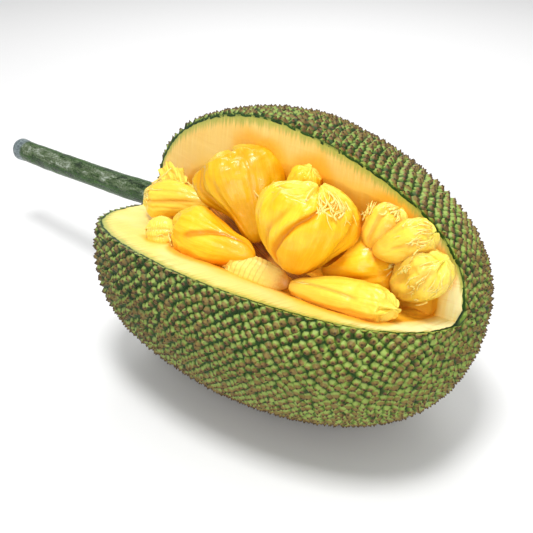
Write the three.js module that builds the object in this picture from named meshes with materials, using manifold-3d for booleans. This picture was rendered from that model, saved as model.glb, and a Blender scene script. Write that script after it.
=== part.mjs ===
// A whole jackfruit lying on a small flat of its rind, with a wedge cut out of its side.
// Millimetres. +X runs along the fruit from the stem end to the blossom end, +Z is up,
// and the wedge opens upwards and toward -Y. The origin is the middle of the resting flat.
import * as THREE from 'three';
import { mergeVertices } from 'three/addons/utils/BufferGeometryUtils.js';
import Module from 'manifold-3d';

const wasm = await Module();
wasm.setup();

// ---- driving dimensions -------------------------------------------------------------
const HALF_LENGTH = 191;      // half of the body, pole to pole
const MAX_RADIUS = 141.5;     // over the points of the spines
const STEM_POWER = 1.44;      // how bluntly the stem half closes
const TIP_POWER = 2.42;       // how bluntly the blossom half closes
const GIRTH_POWER = 2.955;
const TAPER = -0.157;         // the blossom half is the slimmer one
const SLUMP = 0.265;          // the shoulder that falls away beside the stem
const SLUMP_ROLL = -54.5;     // degrees from straight up, toward -Y
const REST_HEIGHT = 137;      // axis above the flat that the fruit rests on
const BACK_ROLL = -7.7;       // lean of the upright cut face
const FRONT_ROLL = 77.5;      // lean of the lying cut face
const BACK_SET = [23.6, -6.7, -20.4];
const FRONT_SET = [-8.4, -7.0, 1.1];
const WEDGE_REACH = 260;      // far enough to pass right out of the body
const WEDGE_STEPS = 26;       // pieces that the curved cut faces are made of
const HOLLOW_CENTRE = 10;     // the hollow that the bulbs came out of
const HOLLOW_HALF = 157;
const HOLLOW_RADIUS = 105;
const HOLLOW_DEPTH = 15;      // how far it goes down behind the cut faces
const CORE_RADIUS = 11;
const STEM_RADIUS = 13;
const STEM_END = -474;        // the stalk's cut end
const FLAP_WIDE = 15;         // half sizes of the torn flap
const FLAP_HIGH = 17;
const FLAP_THICK = 1.3;
const FIBRE_RADIUS = 1.1;
const GAP = 0.35;             // clear space between neighbouring pieces
const LOOK = new THREE.Vector3(0.62, -0.62, 0.48).normalize();   // the way the wedge opens

// narrow end, wide end, width, thickness, share of the width kept at the narrow end
const BULBS = {
  bulb_shoulder: [[-1, -44, 36], [-55, -24, 104], 84, 56, 0.42],
  bulb_behind: [[22, -24, 70], [35, -14, 110], 33, 28, 0.7],
  bulb_middle: [[62, -66, 40], [72, -45, 116], 86, 64, 0.6],
  bulb_upper_right: [[108, -26, 66], [124, -8, 100], 38, 32, 0.7],
  bulb_far_right: [[117, -30, 66], [160, -8, 91], 36, 32, 0.6],
  bulb_right: [[77, -46, 40], [124, 0, 48], 53, 46, 0.62],
  bulb_tip: [[133, -18, 30], [174, -13, 74], 47, 38, 0.62],
  bulb_front: [[68, -74, 33], [157, -46, 37], 33, 30, 0.62],
  bulb_left: [[18, -66, 37], [-72, -80, 40], 52, 42, 0.5],
  bulb_stem_upper: [[-84, -24, 40], [-150, -52, 35], 35, 30, 0.62],
  bulb_stem_lower: [[-71, -77, 33], [-97, -93, 29], 24, 18, 0.7],
};
const RAG_RIBBED = [[57, -63, 25], [-6, -79, 27], 31, 14, 0.75];

// ---- helpers ------------------------------------------------------------------------
const rad = THREE.MathUtils.degToRad;
const outward = (roll) => new THREE.Vector3(0, -Math.sin(rad(roll)), Math.cos(rad(roll)));

function solid(geometry) {
  geometry.deleteAttribute('normal');
  geometry.deleteAttribute('uv');
  const merged = mergeVertices(geometry, 1e-4);
  const mesh = new wasm.Mesh({
    numProp: 3,
    vertProperties: Float32Array.from(merged.attributes.position.array),
    triVerts: Uint32Array.from(merged.index.array),
  });
  return new wasm.Manifold(mesh);
}

function largest(body) {
  const parts = body.decompose();
  parts.sort((a, b) => b.volume() - a.volume());
  return parts[0];
}

function geometryOf(body) {
  const mesh = body.getMesh();
  const geometry = new THREE.BufferGeometry();
  geometry.setAttribute('position', new THREE.BufferAttribute(mesh.vertProperties, 3));
  geometry.setIndex(new THREE.BufferAttribute(mesh.triVerts, 1));
  geometry.computeVertexNormals();
  return geometry;
}

function shape(geometry, place) {
  const at = geometry.attributes.position;
  const v = new THREE.Vector3();
  for (let i = 0; i < at.count; i += 1) {
    v.fromBufferAttribute(at, i);
    place(v);
    at.setXYZ(i, v.x, v.y, v.z);
  }
  return geometry;
}

function bodyRadius(s, roll) {
  const power = s < 0 ? STEM_POWER : TIP_POWER;
  const round = Math.pow(Math.max(0, 1 - Math.pow(Math.abs(s), power)), 1 / GIRTH_POWER);
  const fall = s < 0 ? s * s * SLUMP * Math.cos(roll - rad(SLUMP_ROLL)) : 0;
  return MAX_RADIUS * round * (1 + TAPER * s) * (1 - fall);
}

function hollowRadius(s) {
  const power = s < 0 ? STEM_POWER + 0.1 : TIP_POWER + 0.9;
  return HOLLOW_RADIUS * Math.pow(Math.max(0, 1 - Math.pow(Math.abs(s), power)), 1 / GIRTH_POWER);
}

// a ball whose poles lie on X, drawn out to the radius that a profile gives
function ovoid(round, along, half, middle, profile) {
  const ball = new THREE.SphereGeometry(1, round, along);
  return shape(ball, (v) => {
    const s = THREE.MathUtils.clamp(-v.y, -1, 1);
    const ring = Math.hypot(v.x, v.z);
    const roll = Math.atan2(-v.x, v.z);
    const r = ring < 1e-6 ? 0 : profile(s, roll);
    v.set(middle + half * s, -r * Math.sin(roll), r * Math.cos(roll));
  });
}

function setOf(terms, x) {
  const s = x / HALF_LENGTH;
  return terms[0] + terms[1] * s + terms[2] * s * s;
}

// the wedge between the two cut faces, both moved back by some depth
function wedge(depth) {
  const back = outward(BACK_ROLL);
  const front = outward(FRONT_ROLL);
  const faceBack = new THREE.Vector3(0, -Math.cos(rad(BACK_ROLL)), -Math.sin(rad(BACK_ROLL)));
  const faceFront = new THREE.Vector3(0, -Math.cos(rad(FRONT_ROLL)), -Math.sin(rad(FRONT_ROLL)));
  const box = new THREE.BoxGeometry(2 * HALF_LENGTH + 60, 1, 1, WEDGE_STEPS, 1, 1);
  return shape(box, (v) => {
    const x = v.x;
    const near = Math.max(-HALF_LENGTH, Math.min(HALF_LENGTH, x));
    const b = setOf(BACK_SET, near) - depth;
    const f = setOf(FRONT_SET, near) + depth;
    const det = faceBack.y * faceFront.z - faceBack.z * faceFront.y;
    const y = (b * faceFront.z - f * faceBack.z) / det;
    const z = (f * faceBack.y - b * faceFront.y) / det;
    const up = WEDGE_REACH * (v.z + 0.5);
    const out = WEDGE_REACH * (0.5 - v.y);
    v.set(x, y + up * back.y + out * front.y, z + up * back.z + out * front.z);
  });
}

// a bulb: round across, drawn in toward its narrow end
function bulb([low, high, width, thick, keep], grow, round, along) {
  const base = new THREE.Vector3(...low);
  const axis = new THREE.Vector3(...high).sub(base);
  const length = axis.length() + 2 * grow;
  axis.normalize();
  const side = axis.clone().cross(LOOK).normalize();
  const face = side.clone().cross(axis);
  const ball = new THREE.SphereGeometry(1, round, along);
  return shape(ball, (v) => {
    const t = (1 + THREE.MathUtils.clamp(v.y, -1, 1)) / 2;
    const ring = Math.hypot(v.x, v.z);
    const turn = Math.atan2(v.z, v.x);
    const widest = 0.61 + 0.45 * keep;
    const r = ring < 1e-6 ? 0 : Math.pow(ring, 0.9) * (keep + (1 - keep) * t) / widest;
    const p = base.clone().addScaledVector(axis, length * t - grow);
    p.addScaledVector(side, r * Math.cos(turn) * (width / 2 + grow));
    p.addScaledVector(face, r * Math.sin(turn) * (thick / 2 + grow));
    v.copy(p);
  });
}

function rod(points, radius, steps, sides) {
  const path = new THREE.CatmullRomCurve3(points.map((p) => new THREE.Vector3(...p)));
  const ring = new THREE.Shape();
  ring.absarc(0, 0, radius, 0, 2 * Math.PI, false);
  const options = { steps, curveSegments: sides, bevelEnabled: false, extrudePath: path };
  return new THREE.ExtrudeGeometry(ring, options);
}

// ---- the fruit body -----------------------------------------------------------------
const bodyBall = ovoid(52, 34, HALF_LENGTH, 0, bodyRadius);
const under = new THREE.BoxGeometry(900, 900, 200);
under.translate(0, 0, -REST_HEIGHT - 100);
const notch = solid(wedge(0));
const hollowWedge = solid(wedge(HOLLOW_DEPTH));
const hollowBall = solid(ovoid(28, 18, HOLLOW_HALF, HOLLOW_CENTRE, hollowRadius));
const hollow = hollowBall.intersect(hollowWedge);

const STEM_PATH = [
  [-177, 0, 2],
  [-211, 0, 1],
  [-265, 0, -5],
  [-325, 0, -10],
  [-386, 0, -15.5],
  [-430, 0, -18.5],
  [-470, 0, -21],
];
const stemBody = solid(rod(STEM_PATH, STEM_RADIUS, 14, 16));
// the cut end is a little swollen, and sawn off nearly square
const knob = new THREE.SphereGeometry(1, 16, 10);
knob.scale(STEM_RADIUS, STEM_RADIUS + 1.2, STEM_RADIUS + 1.6);
knob.translate(STEM_END + 8, 0, -20.7);
const knobCut = new THREE.BoxGeometry(60, 60, 60);
knobCut.rotateY(rad(-4));
knobCut.translate(STEM_END - 30, 0, -22);
const stem = stemBody.add(solid(knob)).subtract(solid(knobCut));
const stemSeat = solid(rod(STEM_PATH, STEM_RADIUS + GAP, 14, 16));

const coreLine = new THREE.CatmullRomCurve3([
  new THREE.Vector3(-150, 6, 22),
  new THREE.Vector3(-95, -5, 10),
  new THREE.Vector3(-40, -17, 2),
  new THREE.Vector3(20, -28, -6),
  new THREE.Vector3(70, -27, -6),
  new THREE.Vector3(110, -14, -2),
]);
const coreShape = (grow) => {
  const ball = new THREE.SphereGeometry(1, 14, 18);
  return solid(shape(ball, (v) => {
    const t = (1 + THREE.MathUtils.clamp(v.y, -1, 1)) / 2;
    const ring = Math.hypot(v.x, v.z);
    const r = ring < 1e-6 ? 0 : (CORE_RADIUS + grow) * Math.pow(ring, 0.6) / ring;
    const p = coreLine.getPoint(t);
    const end = (2 * t - 1) * grow;
    v.set(p.x + end, p.y + r * v.x, p.z - r * v.z);
  }));
};

const grown = (row, grow) => solid(bulb(row, grow, 16, 10));
const bulbs = {};
const taken = [];
for (const [name, row] of Object.entries(BULBS)) {
  let body = grown(row, 0);
  for (const other of taken) body = body.subtract(other);
  bulbs[name] = largest(body);
  taken.push(grown(row, GAP));
}
let ribbed = grown(RAG_RIBBED, 0);
for (const other of taken) ribbed = ribbed.subtract(other);
ribbed = largest(ribbed);
taken.push(grown(RAG_RIBBED, GAP));

let core = coreShape(0);
for (const other of taken) core = core.subtract(other);
core = largest(core);
taken.push(coreShape(GAP));

let husk = solid(bodyBall).subtract(solid(under)).subtract(notch).subtract(hollow);
for (const other of taken) husk = husk.subtract(other);
husk = largest(husk.subtract(stemSeat));

// ---- loose rag: a torn flap and a few long fibres -----------------------------------
const flapBall = shape(new THREE.SphereGeometry(1, 18, 10), (v) => {
  const x = FLAP_WIDE * v.x;
  const z = FLAP_HIGH * v.y;
  const bow = 0.012 * x * x - 0.1 * z;
  v.set(-136 + x - 0.25 * z, -26 - FLAP_THICK * v.z - bow, 52 + z);
});
let flap = solid(flapBall);
for (const other of taken) flap = flap.subtract(other);
flap = largest(flap);
const fibreStem = solid(rod([[-126, -37, 67], [-133, -44, 58], [-141, -50, 51]], FIBRE_RADIUS, 8, 8));

// ---- build --------------------------------------------------------------------------
const COLOURS = { rind: 0x6c8a3c, flesh: 0xf6c544, bark: 0x48603a, core: 0xc0842c, pale: 0xf4dc8c };

function material(colour, roughness) {
  return new THREE.MeshStandardMaterial({ color: colour, roughness, metalness: 0 });
}

function piece(name, geometry, colour, roughness) {
  geometry.translate(0, 0, REST_HEIGHT);
  const mesh = new THREE.Mesh(geometry, material(colour, roughness));
  mesh.name = name;
  return mesh;
}

const jackfruit = new THREE.Group();
jackfruit.name = 'jackfruit';
jackfruit.add(piece('husk', geometryOf(husk), COLOURS.rind, 0.7));
jackfruit.add(piece('stem', geometryOf(stem), COLOURS.bark, 0.8));
jackfruit.add(piece('core', geometryOf(core), COLOURS.core, 0.7));
for (const [name, body] of Object.entries(bulbs)) {
  jackfruit.add(piece(name, geometryOf(body), COLOURS.flesh, 0.35));
}
jackfruit.add(piece('rag_ribbed', geometryOf(ribbed), COLOURS.pale, 0.5));
jackfruit.add(piece('rag_flap', geometryOf(flap), COLOURS.pale, 0.5));
jackfruit.add(piece('rag_fibre', geometryOf(fibreStem), COLOURS.pale, 0.5));

export default jackfruit;
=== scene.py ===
"""A jackfruit lying on its side, with a wedge cut out to show the golden bulbs inside.

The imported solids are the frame. Every visible piece is a surface worked out with numpy in the
same place as its solid, and each kind of surface (rind, pith, bulb, core, rag, bark) has its
own material.
"""
import math

import bpy
import numpy as np
from mathutils import Matrix


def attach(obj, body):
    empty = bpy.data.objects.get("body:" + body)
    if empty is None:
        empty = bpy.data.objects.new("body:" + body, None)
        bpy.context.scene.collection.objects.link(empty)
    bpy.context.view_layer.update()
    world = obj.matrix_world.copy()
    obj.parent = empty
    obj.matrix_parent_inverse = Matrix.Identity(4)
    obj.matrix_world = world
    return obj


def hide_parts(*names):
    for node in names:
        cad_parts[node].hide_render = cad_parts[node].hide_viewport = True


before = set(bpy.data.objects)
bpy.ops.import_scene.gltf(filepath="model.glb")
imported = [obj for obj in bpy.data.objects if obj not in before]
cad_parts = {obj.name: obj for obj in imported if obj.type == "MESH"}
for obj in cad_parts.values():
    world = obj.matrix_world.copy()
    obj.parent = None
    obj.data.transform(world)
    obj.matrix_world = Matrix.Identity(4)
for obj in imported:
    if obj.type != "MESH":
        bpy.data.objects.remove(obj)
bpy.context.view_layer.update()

bl_info = {
    "name": "Opened Jackfruit",
    "version": (1, 0, 0),
    "blender": (4, 5, 0),
    "location": "View3D > Sidebar > Jackfruit",
    "description": "Builds a jackfruit with a wedge cut out around its packed solids",
    "category": "Add Mesh",
}

# ---- sizes in metres, the same as the solids' own ------------------------------------
MM = 0.001
HALF_LENGTH = 191 * MM
MAX_RADIUS = 141.5 * MM       # over the points of the spines
STEM_POWER = 1.44             # how full the stem half is along the fruit, and the blossom half
TIP_POWER = 2.42
GIRTH_POWER = 2.955           # how squarely the girth rounds off at the ends
TAPER = -0.157                # change of girth from the middle to the blossom end
SLUMP = 0.265                 # flattening of the stem half, most at this roll
SLUMP_ROLL = math.radians(-54.5)
REST_HEIGHT = 137 * MM        # the body's middle line over the floor
BACK_ROLL = math.radians(-7.7)       # the upright cut face
FRONT_ROLL = math.radians(77.5)      # the lying cut face
BACK_SET = (23.6 * MM, -6.7 * MM, -20.4 * MM)   # how far each cut face passes from the
FRONT_SET = (-8.4 * MM, -7.0 * MM, 1.1 * MM)    # middle line: terms in 1, s and s^2
HOLLOW_CENTRE = 10 * MM
HOLLOW_HALF = 157 * MM
HOLLOW_RADIUS = 105 * MM
HOLLOW_DEPTH = 15 * MM
HOLLOW_LIP = 13 * MM          # how far inside its outline the hollow reaches its depth
SPINE_HEIGHT = 6.4 * MM       # the tallest spine, from the skin to its point
SPINE_LEAN = 0.12             # how far a point stands off to the side, as a share of the gap
CUT_REACH = 0.55              # a spine is left out this share of the gap past both cuts
GROUND = 5.1 * MM             # how far the skin between the spines lies below their points
SKIN = 0.7 * MM               # the skin between the spines
GOLDEN_ANGLE = math.pi * (3 - math.sqrt(5))
LOOK = np.array((0.62, -0.62, 0.48)) / np.linalg.norm((0.62, -0.62, 0.48))
LENS = 61.6
CAMERA_PLACE = (512.3 * MM, -543.1 * MM, 410.2 * MM + REST_HEIGHT)
CAMERA_RIGHT = (0.70525, 0.70896, 0.0)
CAMERA_UP = (-0.34483, 0.34303, 0.87374)
SENSOR = 36
WORLD_LIGHT = 0.53
FLOOR_HALF = 6
# lamps: name, place (m), width (m), power (W)
LIGHTS = (("key", (0.2, -0.4, 1.7), 0.45, 19), ("fill", (1.1, -1.2, 0.9), 0.8, 9),
          ("rear", (-0.9, 1.0, 1.2), 0.9, 9))

# narrow end, wide end (mm from the middle of the body), width, thickness, share of the
# width kept at the narrow end
BULBS = {
    "bulb_shoulder": ((-1, -44, 36), (-55, -24, 104), 84, 56, 0.42),
    "bulb_behind": ((22, -24, 70), (35, -14, 110), 33, 28, 0.7),
    "bulb_middle": ((62, -66, 40), (72, -45, 116), 86, 64, 0.6),
    "bulb_upper_right": ((108, -26, 66), (124, -8, 100), 38, 32, 0.7),
    "bulb_far_right": ((117, -30, 66), (160, -8, 91), 36, 32, 0.6),
    "bulb_right": ((77, -46, 40), (124, 0, 48), 53, 46, 0.62),
    "bulb_tip": ((133, -18, 30), (174, -13, 74), 47, 38, 0.62),
    "bulb_front": ((68, -74, 33), (157, -46, 37), 33, 30, 0.62),
    "bulb_left": ((18, -66, 37), (-72, -80, 40), 52, 42, 0.5),
    "bulb_stem_upper": ((-84, -24, 40), (-150, -52, 35), 35, 30, 0.62),
    "bulb_stem_lower": ((-71, -77, 33), (-97, -93, 29), 24, 18, 0.7),
}
RAG_RIBBED = ((57, -63, 25), (-6, -79, 27), 31, 14, 0.75)

# lengthwise folds: where round the bulb (degrees, 90 faces out) three tenths of the way
# along, depth (share of the radius), width (degrees), turn from end to end (degrees), and
# where they begin and end
FOLDS = {
    "bulb_shoulder": ((142, 0.07, 6, 20, 0.1, 0.9), (160, 0.09, 8, 10, 0.1, 0.9),
                      (118, 0.05, 5, 26, 0.1, 0.8), (78, 0.05, 6, -10, 0.3, 0.93)),
    "bulb_behind": ((70, 0.06, 9, 0, 0.1, 0.9),),
    "bulb_middle": ((127, 0.15, 4, -84, 0.04, 0.88), (150, 0.06, 6, -70, 0.1, 0.8),
                    (35, 0.05, 6, -20, 0.3, 0.95)),
    "bulb_upper_right": ((110, 0.12, 9, 30, 0.1, 0.95), (60, 0.06, 8, 0, 0.1, 0.9)),
    "bulb_far_right": ((84, 0.07, 8, -14, 0.3, 0.95), (128, 0.06, 8, 0, 0.4, 0.95)),
    "bulb_right": ((62, 0.05, 9, 20, 0.2, 0.95), (140, 0.03, 9, 0, 0.3, 0.9)),
    "bulb_tip": ((75, 0.12, 9, 32, 0.2, 0.95), (120, 0.09, 8, -8, 0.2, 0.95)),
    "bulb_front": ((112, 0.10, 6, -46, 0.04, 0.7), (52, 0.05, 8, 0, 0.4, 0.95)),
    "bulb_left": ((55, 0.14, 7, 110, 0.1, 0.72), (140, 0.04, 7, 0, 0.5, 0.95)),
    "bulb_stem_upper": ((100, 0.10, 9, 20, 0.2, 0.95), (128, 0.05, 6, 6, 0.3, 0.95),
                        (70, 0.04, 6, -6, 0.3, 0.95)),
    "bulb_stem_lower": ((80, 0.10, 8, 6, 0.1, 0.9), (112, 0.10, 8, 0, 0.1, 0.9)),
}
# lobes: how far along, where round (degrees), height (share of the radius, less than 0 for a
# dimple), spread along and round (degrees)
LOBES = {
    "bulb_shoulder": ((0.87, 92, -0.24, 0.06, 14), (0.72, 38, 0.07, 0.2, 26),
                      (0.93, 70, 0.07, 0.07, 20), (0.92, 118, 0.06, 0.06, 18),
                      (0.26, 190, -0.52, 0.22, 50), (0.3, 0, 0.06, 0.25, 60),
                      (0.12, 90, -0.1, 0.2, 90)),
    "bulb_middle": ((0.86, 30, 0.10, 0.10, 18), (0.92, 66, -0.14, 0.07, 18), (0.6, 160, 0.05, 0.25, 30),
                    (0.22, 10, -0.16, 0.22, 40), (0.85, 130, 0.08, 0.08, 20), (0.08, 78, 0.14, 0.12, 26),
                    (0.08, 145, -0.12, 0.12, 26)),
    "bulb_right": ((0.45, 140, 0.12, 0.3, 40), (0.8, 60, 0.07, 0.2, 40), (0.5, 90, 0.16, 0.4, 70)),
    "bulb_front": ((0.25, 80, 0.08, 0.2, 40), (0.62, 85, -0.10, 0.05, 40), (0.85, 110, 0.08, 0.1, 40)),
    "bulb_left": ((0.36, 108, 0.10, 0.24, 32), (0.72, 25, 0.12, 0.16, 36), (0.85, 120, -0.08, 0.1, 26),
                  (0.30, 0, -0.30, 0.22, 46)),
    "bulb_tip": ((0.6, 60, 0.12, 0.1, 20), (0.8, 110, 0.10, 0.08, 24), (0.45, 110, -0.1, 0.1, 24)),
    "bulb_far_right": ((0.7, 100, 0.1, 0.15, 30), (0.35, 90, -0.05, 0.15, 30)),
    "bulb_upper_right": ((0.8, 80, 0.1, 0.15, 30), (0.75, 130, 0.1, 0.1, 20)),
    "bulb_stem_upper": ((0.4, 60, 0.10, 0.2, 40), (0.8, 110, 0.06, 0.15, 30), (0.86, 165, 0.30, 0.18, 46),
                        (0.6, 10, 0.12, 0.2, 40)),
    "bulb_stem_lower": ((0.3, 10, 0.45, 0.4, 60), (0.6, 180, 0.3, 0.3, 60), (0.7, 90, 0.2, 0.3, 60)),
}
# how blunt a bulb's ends are: the power of sin f in its ring, 0.9 where none is given
RING_POWER = 0.9
BLUNT = {"bulb_front": 0.62, "bulb_stem_lower": 0.7, "bulb_stem_upper": 0.75}
# middle lines, in mm from the middle of the body
CORE_LINE = ((-150, 6, 22), (-95, -5, 10), (-40, -17, 2), (20, -28, -6), (70, -27, -6), (110, -14, -2))
CORE_SHIFT = np.array((4.0, 0.0, 5.0)) * MM
CORE_RADIUS = 11 * MM
STEM_LINE = ((-177, 0, 2), (-211, 0, 1), (-265, 0, -5), (-325, 0, -10), (-386, 0, -15.5),
             (-430, 0, -18.5), (-473.9, 0, -21.3))
STEM_RADIUS = 12.8 * MM
LONG_FIBRE_LINE = ((-126, -37, 67), (-133, -44, 58), (-141, -50, 51))


def paint(red, green, blue):
    """A colour given as it looks (0 to 255), turned into linear light."""
    parts = []
    for part in (red, green, blue):
        c = part / 255
        parts.append(c / 12.92 if c <= 0.04045 else ((c + 0.055) / 1.055) ** 2.4)
    return tuple(parts)


# ---- noise and meshes ----------------------------------------------------------------
def noise(points, size, seed):
    """Smooth value noise from -1 to 1: random numbers on a cubic lattice of that size, blended
    between the eight corners round each point with the curve 3t^2 - 2t^3."""
    p = np.asarray(points, float) / size + 1000.0
    cell = np.floor(p).astype(np.int64)
    t = p - cell
    t = t * t * (3 - 2 * t)
    total = 0.0
    for corner in range(8):
        bits = np.array([corner & 1, (corner >> 1) & 1, (corner >> 2) & 1])
        c = cell + bits
        h = c[..., 0] * 374761393 + c[..., 1] * 668265263 + c[..., 2] * 2147483647 + seed * 1274126177
        h = (h ^ (h >> 13)) * 1274126177
        value = ((h ^ (h >> 16)) & 0xFFFF) / 32767.5 - 1
        weight = np.prod(np.where(bits, t, 1 - t), axis=-1)
        total = total + value * weight
    return total


def step(low, high, x):
    """0 below low, 1 above high, and the curve 3t^2 - 2t^3 between."""
    t = np.clip((x - low) / (high - low), 0, 1)
    return t * t * (3 - 2 * t)

def vectors(*parts):
    """Arrays brought to one shape and stacked along a new last axis."""
    return np.stack(np.broadcast_arrays(*parts), axis=-1)


def unit(v):
    """Vectors brought to length 1, however short they are."""
    return v / (np.linalg.norm(v, axis=-1, keepdims=True) + 1e-15)


def stations(rows, columns):
    """Angles from pole to pole without the poles themselves, and angles once round."""
    return np.linspace(0, math.pi, rows + 2)[1:-1], np.linspace(0, math.tau, columns, endpoint=False)


def unrolled(turn, along):
    """Places on a tube's surface that meet themselves where the turn comes round."""
    return vectors(np.abs(turn / math.tau - 0.5) * 2, along)


def grid_faces(rows, columns):
    """Four-sided faces of a grid of rows by columns, closed round the columns."""
    r = np.arange(rows - 1)[:, None]
    c = np.arange(columns)[None, :]
    d = (c + 1) % columns
    return vectors(r * columns + c, r * columns + d, (r + 1) * columns + d,
                   (r + 1) * columns + c).reshape(-1, 4)


def make_object(name, points, quads, triangles=(), uv=None, values=None, smooth=True, sharp=None):
    """A mesh object at the origin from arrays of points, quads and triangles. uv is one pair
    per point, and values maps an attribute's name to one number per point."""
    points = np.asarray(points, float).reshape(-1, 3)
    quads = np.asarray(quads, np.int64).reshape(-1, 4)
    triangles = np.asarray(triangles, np.int64).reshape(-1, 3)
    mesh = bpy.data.meshes.new(name)
    mesh.vertices.add(len(points))
    mesh.vertices.foreach_set("co", points.ravel())
    loops = np.concatenate([quads.ravel(), triangles.ravel()])
    sizes = np.concatenate([np.full(len(quads), 4), np.full(len(triangles), 3)])
    mesh.loops.add(len(loops))
    mesh.loops.foreach_set("vertex_index", loops.astype(np.int32))
    mesh.polygons.add(len(sizes))
    mesh.polygons.foreach_set("loop_start", (np.cumsum(sizes) - sizes).astype(np.int32))
    mesh.update(calc_edges=True)
    if uv is not None:
        layer = mesh.uv_layers.new(name="UVMap")
        layer.data.foreach_set("uv", np.asarray(uv, float).reshape(-1, 2)[loops].ravel())
    for key, numbers in (values or {}).items():
        layer = mesh.attributes.new(key, "FLOAT", "POINT")
        layer.data.foreach_set("value", np.asarray(numbers, float).ravel())
    mesh.validate()
    if smooth:
        mesh.shade_smooth()
    if sharp is not None:
        mesh.set_sharp_from_angle(angle=math.radians(sharp))
    made = bpy.data.objects.new(name, mesh)
    bpy.context.scene.collection.objects.link(made)
    return made


def closed_grid(name, points, uv=None, values=None, sharp=None):
    """A tube-like grid (rows along, columns round) whose first and last rows are drawn
    together into poles, with its faces turned outwards by the sign of its volume."""
    rows, columns = points.shape[:2]
    flat = points.reshape(-1, 3)
    first, last = points[0].mean(0), points[-1].mean(0)
    quads = grid_faces(rows, columns)
    c = np.arange(columns)
    d = (c + 1) % columns
    count = rows * columns
    low = np.stack([np.full(columns, count), d, c], axis=1)
    top = (rows - 1) * columns
    high = np.stack([np.full(columns, count + 1), top + c, top + d], axis=1)
    every = np.vstack([flat, first, last])
    triangles = np.vstack([low, high])
    volume = 0.0
    for corners in ((0, 1, 2), (0, 2, 3)):
        a, b, e = (every[quads[:, k]] for k in corners)
        volume += np.einsum("ij,ij->i", a, np.cross(b, e)).sum()
    if volume < 0:
        quads = quads[:, ::-1]
        triangles = triangles[:, ::-1]
    if uv is not None:
        uv = np.vstack([uv.reshape(-1, 2), uv[0].mean(0), uv[-1].mean(0)])
    grown = {}
    for key, numbers in (values or {}).items():
        grown[key] = np.concatenate([numbers.ravel(), [numbers[0].mean(), numbers[-1].mean()]])
    return make_object(name, every, quads, triangles, uv, grown, sharp=sharp)


def smooth_line(points, count):
    """A Catmull-Rom curve through the points, in metres from the middle of the body, sampled
    at count places: each stretch is the usual cubic of its four nearest points."""
    p = np.asarray(points, float) * MM
    p = np.vstack([2 * p[0] - p[1], p, 2 * p[-1] - p[-2]])
    t = np.linspace(0, len(points) - 1, count)
    k = np.minimum(t.astype(int), len(points) - 2)
    f = (t - k)[:, None]
    a, b, c, d = p[k], p[k + 1], p[k + 2], p[k + 3]
    line = 0.5 * (2 * b + (c - a) * f + (2 * a - 5 * b + 4 * c - d) * f ** 2
                  + (3 * b - a - 3 * c + d) * f ** 3)
    line[:, 2] += REST_HEIGHT
    return line


def tubes(name, paths, radii, sides=6):
    """Many closed tubes in one mesh: round each path (fibres x steps x 3) a ring of that
    radius (fibres x steps) turns in the plane across the path."""
    fibres, steps = paths.shape[:2]
    ahead = unit(np.gradient(paths, axis=1))
    helper = np.where(np.abs(ahead[..., 2:3]) > 0.9, np.array([1.0, 0, 0]), np.array([0, 0, 1.0]))
    side = unit(np.cross(ahead, helper))
    up = np.cross(side, ahead)
    turn = np.arange(sides) * 2 * math.pi / sides
    ring = side[:, :, None] * np.cos(turn)[:, None] + up[:, :, None] * np.sin(turn)[:, None]
    points = paths[:, :, None] + ring * radii[:, :, None, None]
    quads = grid_faces(steps, sides)
    start = np.arange(fibres)[:, None, None] * steps * sides
    c = np.arange(sides)
    low = np.stack([np.full(sides - 2, 0), c[2:], c[1:-1]], axis=1)
    high = np.stack([np.full(sides - 2, 0), c[1:-1], c[2:]], axis=1) + (steps - 1) * sides
    caps = np.vstack([low, high])
    quads = (quads[None, :, ::-1] + start).reshape(-1, 4)
    caps = (caps[None, :, ::-1] + start).reshape(-1, 3)
    return make_object(name, points.reshape(-1, 3), quads, caps)


# ---- shader helpers ------------------------------------------------------------------
class Wire:
    """One socket of a material, on which + - and * add Math nodes."""

    def __init__(self, shader, socket):
        self.shader = shader
        self.socket = socket

    def math(self, operation, one, two):
        return self.shader.get("ShaderNodeMath", 0, {"operation": operation}, {0: one, 1: two})

    def __add__(self, other):
        return self.math("ADD", self, other)

    def __sub__(self, other):
        return self.math("SUBTRACT", self, other)

    def __rsub__(self, other):
        return self.math("SUBTRACT", other, self)

    def __mul__(self, other):
        return self.math("MULTIPLY", self, other)

    __radd__ = __add__
    __rmul__ = __mul__


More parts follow.
